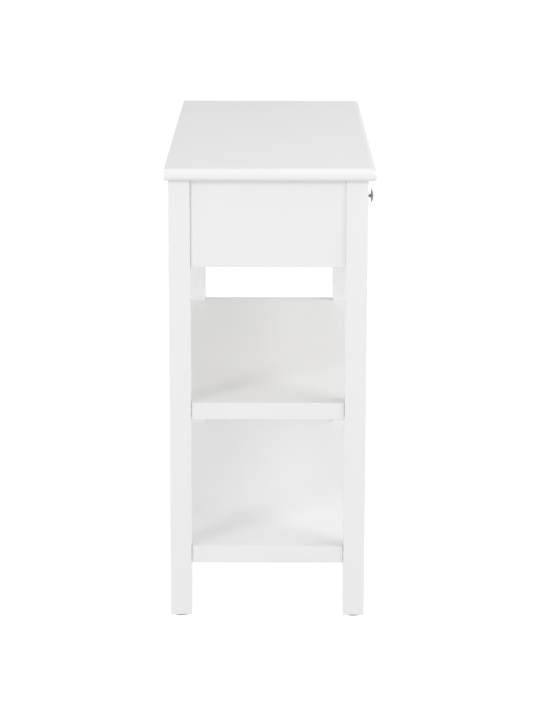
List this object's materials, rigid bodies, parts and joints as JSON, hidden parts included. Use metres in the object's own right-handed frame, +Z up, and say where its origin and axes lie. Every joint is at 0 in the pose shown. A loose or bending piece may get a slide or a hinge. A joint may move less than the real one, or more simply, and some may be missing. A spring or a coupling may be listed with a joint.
{
  "type": "console table",
  "caption": "White lacquered console table with drawers under a round-edged top and open shelves between square legs.",
  "frame": {"origin": "on the floor, under the centre of the bounding box (knob tips to the top's rear edge)", "axes": "+X along the length to the right end as seen from the front, +Y to the back, +Z up; the drawers open towards -Y"},
  "size_m": [0.9, 0.343, 0.75],
  "materials": {
    "white_lacquer": "satin white lacquer sprayed on fine board and solid wood",
    "beech": "planed bare beech",
    "drawer_wood": "sanded pale wood under thin clear lacquer",
    "faced_hardboard": "hardboard printed white on both faces",
    "knob_metal": "dull pewter-coloured cast zinc",
    "cast_zinc": "bare die-cast zinc",
    "zinc_plated_steel": "bright zinc plating",
    "glide_plastic": "moulded grey plastic"
  },
  "bodies": {
    "carcass": {"back_apron": "white_lacquer", "cam_bolts": "zinc_plated_steel", "cam_locks": "cast_zinc", "centre_divider": "white_lacquer", "centre_stile": "white_lacquer", "cleat_screws": "zinc_plated_steel", "divider_dowels": "beech", "end_frame_dowels": "beech", "front_bottom_rail": "white_lacquer", "front_left_leg": "white_lacquer", "front_right_leg": "white_lacquer", "front_top_stretcher": "white_lacquer", "left_drawer_inner_runner": "beech", "left_drawer_outer_runner": "beech", "left_side_apron": "white_lacquer", "left_top_cleat": "beech", "leg_glides": "glide_plastic", "long_rail_dowels": "beech", "lower_shelf_batten": "white_lacquer", "lower_shelf_front_rail": "white_lacquer", "lower_shelf_left_end_rail": "white_lacquer", "lower_shelf_panel": "white_lacquer", "lower_shelf_rear_rail": "white_lacquer", "lower_shelf_right_end_rail": "white_lacquer", "middle_shelf_batten": "white_lacquer", "middle_shelf_front_rail": "white_lacquer", "middle_shelf_left_end_rail": "white_lacquer", "middle_shelf_panel": "white_lacquer", "middle_shelf_rear_rail": "white_lacquer", "middle_shelf_right_end_rail": "white_lacquer", "rear_left_leg": "white_lacquer", "rear_right_leg": "white_lacquer", "rear_top_cleat": "beech", "right_drawer_inner_runner": "beech", "right_drawer_outer_runner": "beech", "right_side_apron": "white_lacquer", "right_top_cleat": "beech", "runner_screws": "zinc_plated_steel", "shelf_panel_screws": "zinc_plated_steel", "tabletop": "white_lacquer", "top_fixing_screws": "zinc_plated_steel"},
    "left_drawer": {"left_drawer_back": "drawer_wood", "left_drawer_bottom": "faced_hardboard", "left_drawer_box_dowels": "beech", "left_drawer_box_screws": "zinc_plated_steel", "left_drawer_front": "white_lacquer", "left_drawer_knob": "knob_metal", "left_drawer_knob_screw": "zinc_plated_steel", "left_drawer_left_side": "drawer_wood", "left_drawer_right_side": "drawer_wood"},
    "right_drawer": {"right_drawer_back": "drawer_wood", "right_drawer_bottom": "faced_hardboard", "right_drawer_box_dowels": "beech", "right_drawer_box_screws": "zinc_plated_steel", "right_drawer_front": "white_lacquer", "right_drawer_knob": "knob_metal", "right_drawer_knob_screw": "zinc_plated_steel", "right_drawer_left_side": "drawer_wood", "right_drawer_right_side": "drawer_wood"}
  },
  "joints": [
    {"name": "left_drawer_slide", "type": "slide", "parent": "carcass", "child": "left_drawer", "axis": [0, -1, 0], "range_m": [0, 0.2]},
    {"name": "right_drawer_slide", "type": "slide", "parent": "carcass", "child": "right_drawer", "axis": [0, -1, 0], "range_m": [0, 0.2]}
  ]
}
